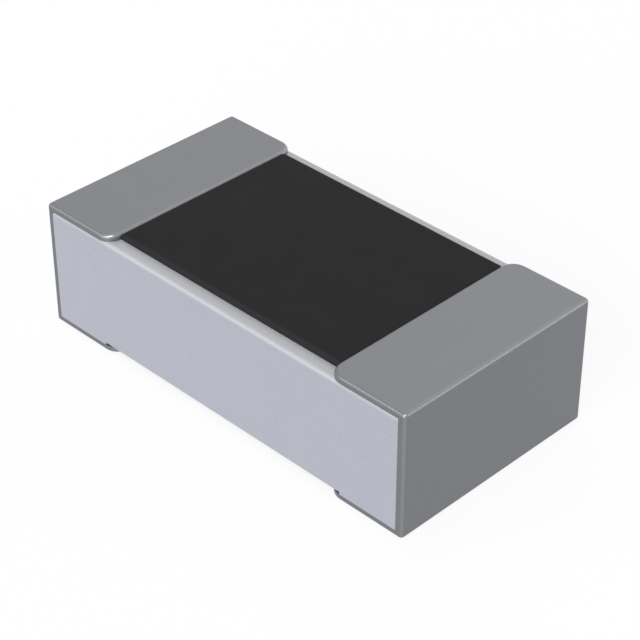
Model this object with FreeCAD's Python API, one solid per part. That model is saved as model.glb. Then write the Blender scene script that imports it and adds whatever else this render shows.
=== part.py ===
import FreeCAD, Part
import os

# Thick-film chip resistor, 1608 metric (0603 inch) case.
# Frame: X along the chip, Y across it, Z up, millimetres.
# The origin is in the middle of the chip's body, half its height above the soldering plane.

V = FreeCAD.Vector

# Alumina substrate: the snapped bar that carries everything else
substrate_length = 1.498
substrate_width = 0.800
substrate_thickness = 0.403
substrate_edge_radius = 0.014       # along the long edges, where they are bare below

# Silver electrodes, printed on the face and the back
face_electrode_thickness = 0.0065
back_electrode_thickness = 0.0085
tongue_width = 0.620                # narrower part that runs in under the overcoat
tongue_reach = 0.105                # from the termination's inner edge to the tongue's tip

# Edge electrode: silver resin coat that joins face and back round each end
edge_electrode_thickness = 0.010
edge_lap_thickness = 0.003
edge_lap_length = 0.110             # from the substrate's end

# Plated layers
nickel_thickness = 0.006
tin_thickness = 0.010

# Terminations, measured over the plating from the chip's end
face_termination_length = 0.303
back_termination_length = 0.303
termination_corner_radius = 0.054   # plan radius of the two inner corners
termination_edge_radius = 0.0135    # every outer edge

# Resistive film, with the laser cut that sets its value
film_width = 0.520
film_thickness = 0.005
film_lap = 0.060                    # length that lies on each electrode
film_ramp = 0.012                   # run of the slope off each electrode
trim_kerf = 0.036
trim_depth = 0.230                  # from the film's edge
trim_run = 0.190                    # along the chip, after the turn
trim_offset = 0.140                 # from the middle of the chip

# Glass coat over the film
glass_thickness = 0.004
glass_side_margin = 0.040           # past the film's long edges
glass_end_margin = 0.012            # past the film's ends

# Overcoat: the black resin between the terminations, level with their tops
overcoat_width = 0.701
overcoat_edge_radius = 0.012        # round its top

# Planes and lengths that follow from those sizes
back_build = back_electrode_thickness + nickel_thickness + tin_thickness
face_build = face_electrode_thickness + nickel_thickness + tin_thickness
end_build = edge_electrode_thickness + nickel_thickness + tin_thickness
chip_height = back_build + substrate_thickness + face_build
chip_top = chip_height / 2
chip_bottom = -chip_height / 2
substrate_bottom = chip_bottom + back_build
substrate_top = substrate_bottom + substrate_thickness
substrate_end = substrate_length / 2
chip_end = substrate_end + end_build
face_inner_edge = chip_end - face_termination_length
back_inner_edge = chip_end - back_termination_length
tongue_tip = face_inner_edge - tongue_reach
film_end = tongue_tip + film_lap


def block(x0, x1, y0, y1, z0, z1):
    """A box between two corners."""
    return Part.makeBox(x1 - x0, y1 - y0, z1 - z0, V(x0, y0, z0))


def across(points, width):
    """An outline in the XZ plane, carried across the chip and centred on it."""
    corners = [V(x, -width / 2, z) for x, z in points]
    face = Part.Face(Part.makePolygon(corners + corners[:1]))
    return face.extrude(V(0, width, 0))


def is_upright(edge):
    """Whether a straight edge runs along Z."""
    if not isinstance(edge.Curve, Part.Line):
        return False
    return abs(edge.tangentAt(edge.FirstParameter).z) > 0.99


def lies_at(edge, axis, value):
    """Whether an edge lies in the plane where one coordinate has a value."""
    box = edge.BoundBox
    low, high = ((box.XMin, box.XMax), (box.YMin, box.YMax), (box.ZMin, box.ZMax))[axis]
    return abs(low - value) < 1e-5 and abs(high - value) < 1e-5


def rounded(solid, radius, chosen):
    """A fillet on each edge that the test picks."""
    edges = [e for e in solid.Edges if chosen(e)]
    return solid.makeFillet(radius, edges)


def whole(shape):
    """The single solid of a cut or a union, with its split faces joined again."""
    return shape.removeSplitter().Solids[0]


def mirrored(solid):
    """The same piece at the other end of the chip."""
    return solid.mirror(V(0, 0, 0), V(1, 0, 0))


def bar_length(x0, x1, rounded_below):
    """A length of the substrate, with its upper long edges rounded and the lower ones too if asked."""
    bar = block(x0, x1, -substrate_width / 2, substrate_width / 2, substrate_bottom, substrate_top)
    lowest = substrate_bottom if rounded_below else substrate_top
    is_long = (lambda e: e.BoundBox.XLength > 0.9 * (x1 - x0))
    return rounded(bar, substrate_edge_radius, lambda e: is_long(e) and e.BoundBox.ZMax > lowest - 1e-5)


def make_substrate():
    """A plain bar with its long edges rounded. Below, the rounding stops at the back terminations."""
    stop = back_inner_edge + termination_corner_radius
    middle = bar_length(-stop, stop, True)
    right = bar_length(stop, substrate_end, False)
    return whole(middle.fuse([right, mirrored(right)]))


def wrap(inset):
    """The C-shaped outside of the right termination, moved in by an inset on every free side.

    The side view is a C round the substrate's end. It is carried across the
    chip, its inner corners are rounded in plan, and then its outer edges.
    """
    end = chip_end - inset
    top = chip_top - inset
    bottom = chip_bottom + inset
    face_edge = face_inner_edge + inset
    back_edge = back_inner_edge + inset
    width = substrate_width - 2 * inset
    outline = [(end, bottom), (end, top), (face_edge, top), (face_edge, substrate_top),
               (substrate_end, substrate_top), (substrate_end, substrate_bottom),
               (back_edge, substrate_bottom), (back_edge, bottom)]
    solid = across(outline, width)
    corner = termination_corner_radius - inset
    inner = (lambda e: is_upright(e) and (lies_at(e, 0, face_edge) or lies_at(e, 0, back_edge)))
    solid = rounded(solid, corner, inner)
    edge = termination_edge_radius - inset
    if edge <= 0:
        return solid
    outer = (lambda e: lies_at(e, 2, top) or lies_at(e, 2, bottom) or lies_at(e, 0, end))
    return rounded(solid, edge, outer)


def make_face_electrode():
    """A printed pad with a narrower tongue, so that the plan is a broad T."""
    pad_inset = nickel_thickness + tin_thickness
    pad_edge = face_inner_edge + pad_inset
    pad_width = substrate_width - 2 * pad_inset
    top = substrate_top + face_electrode_thickness
    pad = block(pad_edge, substrate_end, -pad_width / 2, pad_width / 2, substrate_top, top)
    corner = termination_corner_radius - pad_inset
    pad = rounded(pad, corner, lambda e: is_upright(e) and lies_at(e, 0, pad_edge))
    tongue = block(tongue_tip, substrate_end, -tongue_width / 2, tongue_width / 2, substrate_top, top)
    return whole(pad.fuse(tongue))


def make_back_electrode():
    """A plain printed pad under the substrate's end."""
    pad_inset = nickel_thickness + tin_thickness
    pad_edge = back_inner_edge + pad_inset
    pad_width = substrate_width - 2 * pad_inset
    pad = block(pad_edge, substrate_end, -pad_width / 2, pad_width / 2,
                substrate_bottom - back_electrode_thickness, substrate_bottom)
    corner = termination_corner_radius - pad_inset
    return rounded(pad, corner, lambda e: is_upright(e) and lies_at(e, 0, pad_edge))


def make_edge_electrode(face_electrode, back_electrode):
    """A thin C that laps onto the face and back electrodes."""
    end = substrate_end + edge_electrode_thickness
    lap_edge = substrate_end - edge_lap_length
    top = substrate_top + face_electrode_thickness + edge_lap_thickness
    bottom = substrate_bottom - back_electrode_thickness - edge_lap_thickness
    width = substrate_width - 2 * (nickel_thickness + tin_thickness)
    outline = [(end, bottom), (end, top), (lap_edge, top), (lap_edge, substrate_top),
               (substrate_end, substrate_top), (substrate_end, substrate_bottom),
               (lap_edge, substrate_bottom), (lap_edge, bottom)]
    return whole(across(outline, width).cut(face_electrode.fuse(back_electrode)))


def trim_cut():
    """The laser's L-shaped path, as deep as film and glass: in from one edge, then along."""
    low = substrate_top
    high = substrate_top + face_electrode_thickness + film_thickness + glass_thickness
    start = -film_width / 2 - glass_side_margin / 2
    turn = -film_width / 2 + trim_depth
    plunge = block(trim_offset - trim_kerf, trim_offset, start, turn, low, high)
    run = block(trim_offset - trim_run, trim_offset, turn - trim_kerf, turn, low, high)
    path = whole(plunge.fuse(run))
    return rounded(path, 0.45 * trim_kerf, is_upright)


def film_outline(margin, thickness):
    """Side view of a coat that lies on the substrate and climbs onto both electrodes."""
    end = film_end + margin
    low = substrate_top + thickness
    high = low + face_electrode_thickness
    foot = tongue_tip - film_ramp
    return [(-end, substrate_top), (end, substrate_top), (end, high), (tongue_tip, high), (foot, low),
            (-foot, low), (-tongue_tip, high), (-end, high)]


def make_film(electrodes):
    """The resistive film, cut to its value by the laser."""
    coat = across(film_outline(0, film_thickness), film_width)
    return whole(coat.cut(electrodes).cut(trim_cut()))


def make_glass(electrodes, film):
    """The glass coat, fired over the film before the laser cuts both."""
    thickness = film_thickness + glass_thickness
    coat = across(film_outline(glass_end_margin, thickness), film_width + 2 * glass_side_margin)
    return whole(coat.cut(electrodes).cut(film).cut(trim_cut()))


def make_overcoat(electrodes, film, glass):
    """The resin cover, which runs down into the laser's cut and fills it."""
    cover = block(-face_inner_edge, face_inner_edge, -overcoat_width / 2, overcoat_width / 2,
                  substrate_top, chip_top)
    cover = rounded(cover, overcoat_edge_radius, lambda e: lies_at(e, 2, chip_top))
    return whole(cover.cut(electrodes).cut(film).cut(glass))


substrate = make_substrate()
face_electrode = make_face_electrode()
back_electrode = make_back_electrode()
edge_electrode = make_edge_electrode(face_electrode, back_electrode)
silver = face_electrode.fuse([back_electrode, edge_electrode])
nickel_wrap = wrap(tin_thickness)
nickel_barrier = whole(nickel_wrap.cut(silver))
tin_termination = whole(wrap(0).cut(nickel_wrap).cut(silver))
both_faces = face_electrode.fuse(mirrored(face_electrode))
resistor_film = make_film(both_faces)
glass_coat = make_glass(both_faces, resistor_film)
overcoat = make_overcoat(both_faces, resistor_film, glass_coat)

pieces = {
    "substrate": substrate,
    "resistor_film": resistor_film,
    "glass_coat": glass_coat,
    "overcoat": overcoat,
}
paired = {
    "face_electrode": face_electrode,
    "back_electrode": back_electrode,
    "edge_electrode": edge_electrode,
    "nickel_barrier": nickel_barrier,
    "tin_termination": tin_termination,
}
for name, solid in paired.items():
    pieces[name + "_right"] = solid
    pieces[name + "_left"] = mirrored(solid)

os.makedirs("parts", exist_ok=True)
for name, solid in pieces.items():
    solid.exportStep("parts/" + name + ".step")
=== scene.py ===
import math

import bpy
from mathutils import Matrix, Vector


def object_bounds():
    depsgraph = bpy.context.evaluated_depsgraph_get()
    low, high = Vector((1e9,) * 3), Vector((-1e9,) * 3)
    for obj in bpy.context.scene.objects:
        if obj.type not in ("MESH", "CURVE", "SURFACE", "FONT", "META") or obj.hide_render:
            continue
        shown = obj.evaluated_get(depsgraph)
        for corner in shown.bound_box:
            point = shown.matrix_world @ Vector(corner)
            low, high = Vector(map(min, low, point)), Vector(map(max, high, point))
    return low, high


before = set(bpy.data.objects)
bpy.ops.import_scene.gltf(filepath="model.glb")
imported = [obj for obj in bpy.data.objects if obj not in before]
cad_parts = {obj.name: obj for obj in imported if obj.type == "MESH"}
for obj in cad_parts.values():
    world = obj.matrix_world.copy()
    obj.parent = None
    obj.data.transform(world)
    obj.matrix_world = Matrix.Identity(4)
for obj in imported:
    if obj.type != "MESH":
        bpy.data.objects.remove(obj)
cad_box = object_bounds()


# The substrate is a bar of 96 % alumina, snapped from a scribed sheet that was cast and fired.
# Tumbling wears its long edges round, and a painted highlight makes them paler than its sides.
# Painted bluish light makes its upright sides bluer than its faces. It carries every other layer.
MICRON = 1e-6
fine_detail = 3.0
ceramic_grain = 6 * MICRON
ceramic_cloud = 70 * MICRON
ceramic_grain_share = 0.7
ceramic_relief = 0.1 * MICRON
# Painted bluish light: the upright sides are tinted bluer than the faces.
painted_blue_side_colours = ((0.386, 0.402, 0.460), (0.412, 0.428, 0.489))
face_colours = ((0.424, 0.432, 0.457), (0.453, 0.460, 0.486))
# A painted highlight on the rounded edges.
ceramic_painted_highlight = (0.500, 0.510, 0.545)
ceramic_roughness = (0.23, 0.29)
alumina_ior = 1.76
ceramic_specular = 0.20


def new_material(name):
    """An empty node material, its node tree and its Principled shader."""
    material = bpy.data.materials.new(name)
    material.use_nodes = True
    tree = material.node_tree
    return material, tree, tree.nodes["Principled BSDF"]


def grain(tree, size, detail=2.0):
    """Noise in the object's own coordinates, with grains of the given size in metres."""
    place = tree.nodes.new("ShaderNodeTexCoord")
    noise = tree.nodes.new("ShaderNodeTexNoise")
    noise.inputs["Scale"].default_value = 1.0 / size
    noise.inputs["Detail"].default_value = detail
    tree.links.new(place.outputs["Object"], noise.inputs["Vector"])
    return noise.outputs["Fac"]


def stretch(tree, value, start, stop):
    """A value whose range from start[0] to start[1] is stretched to run from stop[0] to stop[1]."""
    ramp = tree.nodes.new("ShaderNodeMapRange")
    ramp.inputs["From Min"].default_value, ramp.inputs["From Max"].default_value = start
    ramp.inputs["To Min"].default_value, ramp.inputs["To Max"].default_value = stop
    tree.links.new(value, ramp.inputs["Value"])
    return ramp.outputs["Result"]


def spread(tree, noise, low, high):
    """Noise, with the middle part of its range stretched to run from low to high."""
    middle = (0.3, 0.7)
    return stretch(tree, noise, middle, (low, high))


def arithmetic(tree, operation, first, second):
    """One calculation on two values, each of them a socket or a number."""
    node = tree.nodes.new("ShaderNodeMath")
    node.operation = operation
    for place, value in enumerate((first, second)):
        if isinstance(value, float):
            node.inputs[place].default_value = value
        else:
            tree.links.new(value, node.inputs[place])
    return node.outputs["Value"]


def mottle(tree, fine, cloud, fine_share):
    """A shade from 0 to 1, one share of it from the fine noise and the rest from the cloudy one."""
    grained = spread(tree, fine, 0.0, fine_share)
    clouded = spread(tree, cloud, 0.0, 1.0 - fine_share)
    return arithmetic(tree, "ADD", grained, clouded)


def blend(tree, value, first, second):
    """A colour between two, each of them a socket or a triple, by a value from 0 to 1."""
    mix = tree.nodes.new("ShaderNodeMix")
    mix.data_type = "RGBA"
    for side, colour in (("A", first), ("B", second)):
        if isinstance(colour, tuple):
            mix.inputs[side].default_value = (*colour, 1.0)
        else:
            tree.links.new(colour, mix.inputs[side])
    tree.links.new(value, mix.inputs["Factor"])
    return mix.outputs["Result"]


def facing(tree):
    """The sizes of the X, Y and Z parts of the surface's own normal."""
    place = tree.nodes.new("ShaderNodeTexCoord")
    size = tree.nodes.new("ShaderNodeVectorMath")
    size.operation = "ABSOLUTE"
    parts = tree.nodes.new("ShaderNodeSeparateXYZ")
    tree.links.new(place.outputs["Normal"], size.inputs[0])
    tree.links.new(size.outputs["Vector"], parts.inputs["Vector"])
    return parts.outputs["X"], parts.outputs["Y"], parts.outputs["Z"]


def edge_wear_and_highlight(tree, on_edge, on_face):
    """A value that runs from on_face on the flat faces to on_edge in the middle of a rounded edge.

    It follows the largest of the normal's three parts, which is 1 on a flat face and the square
    root of a half in the middle of an edge.
    """
    along, across, up = facing(tree)
    largest = arithmetic(tree, "MAXIMUM", along, arithmetic(tree, "MAXIMUM", across, up))
    return stretch(tree, largest, (math.sqrt(0.5), 1.0), (on_edge, on_face))


def emboss(tree, shader, height, depth):
    """Bumps of the given depth in metres on a shader's normal."""
    bump = tree.nodes.new("ShaderNodeBump")
    bump.inputs["Distance"].default_value = depth
    tree.links.new(height, bump.inputs["Height"])
    tree.links.new(bump.outputs["Normal"], shader.inputs["Normal"])


def dress(node, material):
    """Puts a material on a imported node."""
    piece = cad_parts[node]
    piece.data.materials.clear()
    piece.data.materials.append(material)


def alumina():
    """Pale fired alumina, lavender grey, with painted bluish light on its sides and a painted
    highlight on its edges.
    """
    material, tree, shader = new_material("alumina")
    fine = grain(tree, ceramic_grain, fine_detail)
    shade = mottle(tree, fine, grain(tree, ceramic_cloud), ceramic_grain_share)
    side = blend(tree, shade, *painted_blue_side_colours)
    face = blend(tree, shade, *face_colours)
    # Painted bluish light on the upright sides, plain colour on the faces.
    flat = blend(tree, facing(tree)[2], side, face)
    # A painted highlight makes the rounded edges paler.
    colour = blend(tree, edge_wear_and_highlight(tree, 1.0, 0.0), flat, ceramic_painted_highlight)
    tree.links.new(colour, shader.inputs["Base Color"])
    tree.links.new(spread(tree, fine, *ceramic_roughness), shader.inputs["Roughness"])
    shader.inputs["IOR"].default_value = alumina_ior
    shader.inputs["Specular IOR Level"].default_value = ceramic_specular
    emboss(tree, shader, fine, ceramic_relief)
    return material


dress("substrate", alumina())


# The electrodes are silver paste, screen-printed on the back and the face of the sheet and
# fired. The plating and the overcoat hide them.
ends = ("left", "right")
silver_flake = 5 * MICRON
silver_relief = 0.3 * MICRON
silver_colours = ((0.62, 0.61, 0.58), (0.70, 0.69, 0.66))
silver_roughness = (0.45, 0.55)


def fired_silver():
    """Dull, slightly yellow fired silver."""
    material, tree, shader = new_material("printed_silver")
    flakes = grain(tree, silver_flake)
    colour = blend(tree, spread(tree, flakes, 0.0, 1.0), *silver_colours)
    tree.links.new(colour, shader.inputs["Base Color"])
    tree.links.new(spread(tree, flakes, *silver_roughness), shader.inputs["Roughness"])
    shader.inputs["Metallic"].default_value = 1.0
    emboss(tree, shader, flakes, silver_relief)
    return material


silver = fired_silver()
for end in ends:
    dress("back_electrode_" + end, silver)
    dress("face_electrode_" + end, silver)


# The resistor film is a black ruthenium oxide paste, printed over both tongues and fired.
# A laser cuts an L into it until it has its value.
film_speckle = 4 * MICRON
film_relief = 0.3 * MICRON
film_colours = ((0.025, 0.025, 0.027), (0.04, 0.04, 0.043))
film_roughness = (0.40, 0.50)


def resistor_paste():
    """Nearly black fired paste with a faint metallic speckle."""
    material, tree, shader = new_material("resistor_paste")
    speckle = grain(tree, film_speckle)
    colour = blend(tree, spread(tree, speckle, 0.0, 1.0), *film_colours)
    tree.links.new(colour, shader.inputs["Base Color"])
    tree.links.new(spread(tree, speckle, *film_roughness), shader.inputs["Roughness"])
    emboss(tree, shader, speckle, film_relief)
    return material


dress("resistor_film", resistor_paste())


# The glass coat is a thin glaze, printed over the film as a paste and fired before the laser
# cuts both. It keeps the film from cracking beside the cut.
glass_ripple = 40 * MICRON
ripple_detail = 1.0
glass_relief = 1.0 * MICRON
glass_colours = ((0.05, 0.07, 0.06), (0.07, 0.09, 0.08))
glass_roughness = (0.12, 0.18)


def fired_glass():
    """Dark green glass with a soft ripple."""
    material, tree, shader = new_material("glass_coat")
    ripple = grain(tree, glass_ripple, ripple_detail)
    colour = blend(tree, spread(tree, ripple, 0.0, 1.0), *glass_colours)
    tree.links.new(colour, shader.inputs["Base Color"])
    tree.links.new(spread(tree, ripple, *glass_roughness), shader.inputs["Roughness"])
    emboss(tree, shader, ripple, glass_relief)
    return material


dress("glass_coat", fired_glass())


# The overcoat is a black epoxy resin with a mineral filler, printed between the terminations
# and cured. It is the black top of the chip, with painted light making it a little greyer down
# its flanks, and it fills the laser's cut.
resin_filler = 5 * MICRON
resin_cloud = 90 * MICRON
resin_filler_share = 0.6
resin_relief = 0.1 * MICRON
resin_colours = ((0.0195, 0.0195, 0.0195), (0.0240, 0.0240, 0.0240))
# Painted light on the flanks.
painted_flank_light = (0.0305, 0.0305, 0.0320)
flank_falloff = 3.0
resin_roughness = (0.47, 0.53)
resin_specular = 0.02


def black_resin():
    """Matt black resin with a fine filler grain and a faint cloudiness, with painted light making
    it greyer on its flanks.

    The black follows the normal's upward part, which is 1 on top and 0 on a flank, raised to the
    power flank_falloff.
    """
    material, tree, shader = new_material("black_resin")
    filler = grain(tree, resin_filler, fine_detail)
    shade = mottle(tree, filler, grain(tree, resin_cloud), resin_filler_share)
    level = arithmetic(tree, "POWER", facing(tree)[2], flank_falloff)
    # Painted light makes the flanks greyer than the top.
    colour = blend(tree, level, painted_flank_light, blend(tree, shade, *resin_colours))
    tree.links.new(colour, shader.inputs["Base Color"])
    tree.links.new(spread(tree, filler, *resin_roughness), shader.inputs["Roughness"])
    shader.inputs["Specular IOR Level"].default_value = resin_specular
    emboss(tree, shader, filler, resin_relief)
    return material


dress("overcoat", black_resin())


# The edge electrodes are a silver-filled resin, rolled round each snapped end so that they join
# the face and back electrodes.
resin_flake = 8 * MICRON
resin_flake_relief = 0.4 * MICRON
silver_resin_colours = ((0.50, 0.49, 0.47), (0.60, 0.59, 0.57))
silver_resin_roughness = (0.50, 0.60)
silver_resin_metal = 0.8


def silver_resin():
    """Dull grey resin full of silver flakes."""
    material, tree, shader = new_material("silver_resin")
    flakes = grain(tree, resin_flake)
    colour = blend(tree, spread(tree, flakes, 0.0, 1.0), *silver_resin_colours)
    tree.links.new(colour, shader.inputs["Base Color"])
    tree.links.new(spread(tree, flakes, *silver_resin_roughness), shader.inputs["Roughness"])
    shader.inputs["Metallic"].default_value = silver_resin_metal
    emboss(tree, shader, flakes, resin_flake_relief)
    return material


edge_coat = silver_resin()
for end in ends:
    dress("edge_electrode_" + end, edge_coat)


# The nickel barrier is barrel-plated over the silver of each end. It keeps the solder from
# eating the silver.
nickel_nodule = 4 * MICRON
nickel_relief = 0.2 * MICRON
nickel_colours = ((0.48, 0.47, 0.44), (0.53, 0.52, 0.49))
nickel_roughness = (0.36, 0.44)


def plated_nickel():
    """Satin, slightly warm nickel."""
    material, tree, shader = new_material("nickel")
    nodules = grain(tree, nickel_nodule)
    colour = blend(tree, spread(tree, nodules, 0.0, 1.0), *nickel_colours)
    tree.links.new(colour, shader.inputs["Base Color"])
    tree.links.new(spread(tree, nodules, *nickel_roughness), shader.inputs["Roughness"])
    shader.inputs["Metallic"].default_value = 1.0
    emboss(tree, shader, nodules, nickel_relief)
    return material


nickel = plated_nickel()
for end in ends:
    dress("nickel_barrier_" + end, nickel)


# The tin termination is the outer plating, matt tin that solders well. Plated in a barrel, it is
# rubbed smoother along every edge, and a painted highlight makes it brighter along the edges of the
# chip's ends.
tin_crystals = 5 * MICRON
tin_cloud = 60 * MICRON
tin_crystal_share = 0.7
tin_relief = 0.1 * MICRON
tin_colours = ((0.187, 0.192, 0.204), (0.198, 0.202, 0.216))
# A painted highlight on the edges of the chip's ends.
tin_painted_highlight = (0.245, 0.251, 0.269)
highlight_falloff = 3.0
flat_roughness = 0.50
edge_roughness = 0.30
crystal_roughness = (-0.03, 0.03)


def end_edge_highlight(tree):
    """Where the painted highlight lies: 0 on the flat faces, 1 in the middle of an edge of the
    chip's end.

    It is twice the normal's X part times the larger of its Y and Z parts, all of them without
    their signs, raised to the power highlight_falloff.
    """
    along, across, up = facing(tree)
    product = arithmetic(tree, "MULTIPLY", along, arithmetic(tree, "MAXIMUM", across, up))
    highlight_base = arithmetic(tree, "MULTIPLY", product, 2.0)
    return arithmetic(tree, "POWER", highlight_base, highlight_falloff)


def matt_tin():
    """Even grey matt tin with a fine crystal grain, smoother along its edges, and a painted
    highlight along the edges of the chip's ends.
    """
    material, tree, shader = new_material("tin")
    crystals = grain(tree, tin_crystals, fine_detail)
    shade = mottle(tree, crystals, grain(tree, tin_cloud), tin_crystal_share)
    matt = blend(tree, shade, *tin_colours)
    # A painted highlight brightens the edges of the chip's ends.
    colour = blend(tree, end_edge_highlight(tree), matt, tin_painted_highlight)
    tree.links.new(colour, shader.inputs["Base Color"])
    smooth = edge_wear_and_highlight(tree, edge_roughness, flat_roughness)
    roughness = arithmetic(tree, "ADD", smooth, spread(tree, crystals, *crystal_roughness))
    tree.links.new(roughness, shader.inputs["Roughness"])
    shader.inputs["Metallic"].default_value = 1.0
    emboss(tree, shader, crystals, tin_relief)
    return material


tin = matt_tin()
for end in ends:
    dress("tin_termination_" + end, tin)


# The floor is a plain matt board that the chip rests on, as on a copy stand. The camera and the
# chip's reflections see it white, and it still takes the chip's soft shadow.
board_side = 0.1
board_colour = 0.2
board_glow = 0.3
board_seen_glow = 0.8


def seen_rays(tree, unseen, seen):
    """A strength: seen for rays from the camera and from reflections, unseen for the rest."""
    rays = tree.nodes.new("ShaderNodeLightPath").outputs
    mirrored = arithmetic(tree, "MAXIMUM", rays["Is Glossy Ray"], rays["Is Transmission Ray"])
    either = arithmetic(tree, "MAXIMUM", rays["Is Camera Ray"], mirrored)
    return stretch(tree, either, (0.0, 1.0), (unseen, seen))


def white_board():
    """A matt board with a faint glow, and a stronger one for the camera and for reflections."""
    material, tree, unused = new_material("board")
    material.cycles.emission_sampling = "NONE"
    tree.nodes.remove(unused)
    matt = tree.nodes.new("ShaderNodeBsdfDiffuse")
    matt.inputs["Color"].default_value = (board_colour, board_colour, board_colour, 1.0)
    light = tree.nodes.new("ShaderNodeEmission")
    both = tree.nodes.new("ShaderNodeAddShader")
    tree.links.new(seen_rays(tree, board_glow, board_seen_glow), light.inputs["Strength"])
    tree.links.new(matt.outputs["BSDF"], both.inputs[0])
    tree.links.new(light.outputs["Emission"], both.inputs[1])
    tree.links.new(both.outputs["Shader"], tree.nodes["Material Output"].inputs["Surface"])
    return material


bpy.ops.mesh.primitive_plane_add(size=board_side, location=(0, 0, cad_box[0].z))
floor = bpy.context.object
floor.name = "floor"
floor.data.materials.append(white_board())


# The studio is an even white surround, with large soft lamps far away. Each lamp is placed so
# that one of the chip's faces or rounded edges catches it. Only the camera and the reflections
# see the surround white, and its light on the chip is weaker.
sky_light = 0.3
white = 1.0


def direction(azimuth, elevation):
    """The unit vector towards a point of the sky, with azimuth 0 on -Y and 90 on +X."""
    a, e = math.radians(azimuth), math.radians(elevation)
    return Vector((math.sin(a) * math.cos(e), -math.cos(a) * math.cos(e), math.sin(e)))


def lamp(name, azimuth, elevation, strength, spread_deg):
    """A round soft light so far away that it lights the whole chip from one direction."""
    data = bpy.data.lights.new(name, "SUN")
    data.energy = strength
    data.angle = math.radians(spread_deg)
    light = bpy.data.objects.new(name, data)
    bpy.context.scene.collection.objects.link(light)
    light.rotation_mode = "QUATERNION"
    light.rotation_quaternion = direction(azimuth, elevation).to_track_quat("Z", "Y")


world = bpy.data.worlds.new("studio")
bpy.context.scene.world = world
world.use_nodes = True
sky = world.node_tree
sky.links.new(seen_rays(sky, sky_light, white), sky.nodes["Background"].inputs["Color"])
lamp("front_left_lamp", azimuth=-40, elevation=26, strength=0.30, spread_deg=22)
lamp("end_lamp", azimuth=132, elevation=3, strength=0.29, spread_deg=16)
lamp("right_back_lamp", azimuth=128, elevation=19, strength=0.06, spread_deg=20)
lamp("front_lamp", azimuth=15, elevation=22, strength=1.60, spread_deg=50)
lamp("overhead_lamp", azimuth=225, elevation=60, strength=0.36, spread_deg=60)
lamp("camera_lamp", azimuth=45, elevation=50, strength=1.30, spread_deg=16)
lamp("back_lamp", azimuth=180, elevation=12, strength=0.50, spread_deg=70)
bpy.context.scene.view_settings.view_transform = "Standard"


# The camera looks down one corner of the chip, as in an isometric drawing.
# Its distance and lens were solved from the chip's own edges in the photograph.
view_azimuth = 45.0
view_elevation = math.degrees(math.atan(1 / math.sqrt(2)))
view_distance = 6.3399e-3
view_shift = (0.0332e-3, -0.0339e-3)
focal_length = 114.37
sensor_width = 36.0
nearest_seen, farthest_seen = 1e-4, 1.0
back = direction(view_azimuth, view_elevation)
right = direction(view_azimuth + 90, 0.0)
up = back.cross(right)
lens = bpy.data.cameras.new("camera")
lens.lens = focal_length
lens.sensor_width = sensor_width
lens.clip_start, lens.clip_end = nearest_seen, farthest_seen
camera = bpy.data.objects.new("camera", lens)
bpy.context.scene.collection.objects.link(camera)
camera.matrix_world = Matrix((
    (*right, 0.0), (*up, 0.0), (*back, 0.0), (0.0, 0.0, 0.0, 1.0)
)).transposed()
camera.location = back * view_distance + right * view_shift[0] + up * view_shift[1]
bpy.context.scene.camera = camera
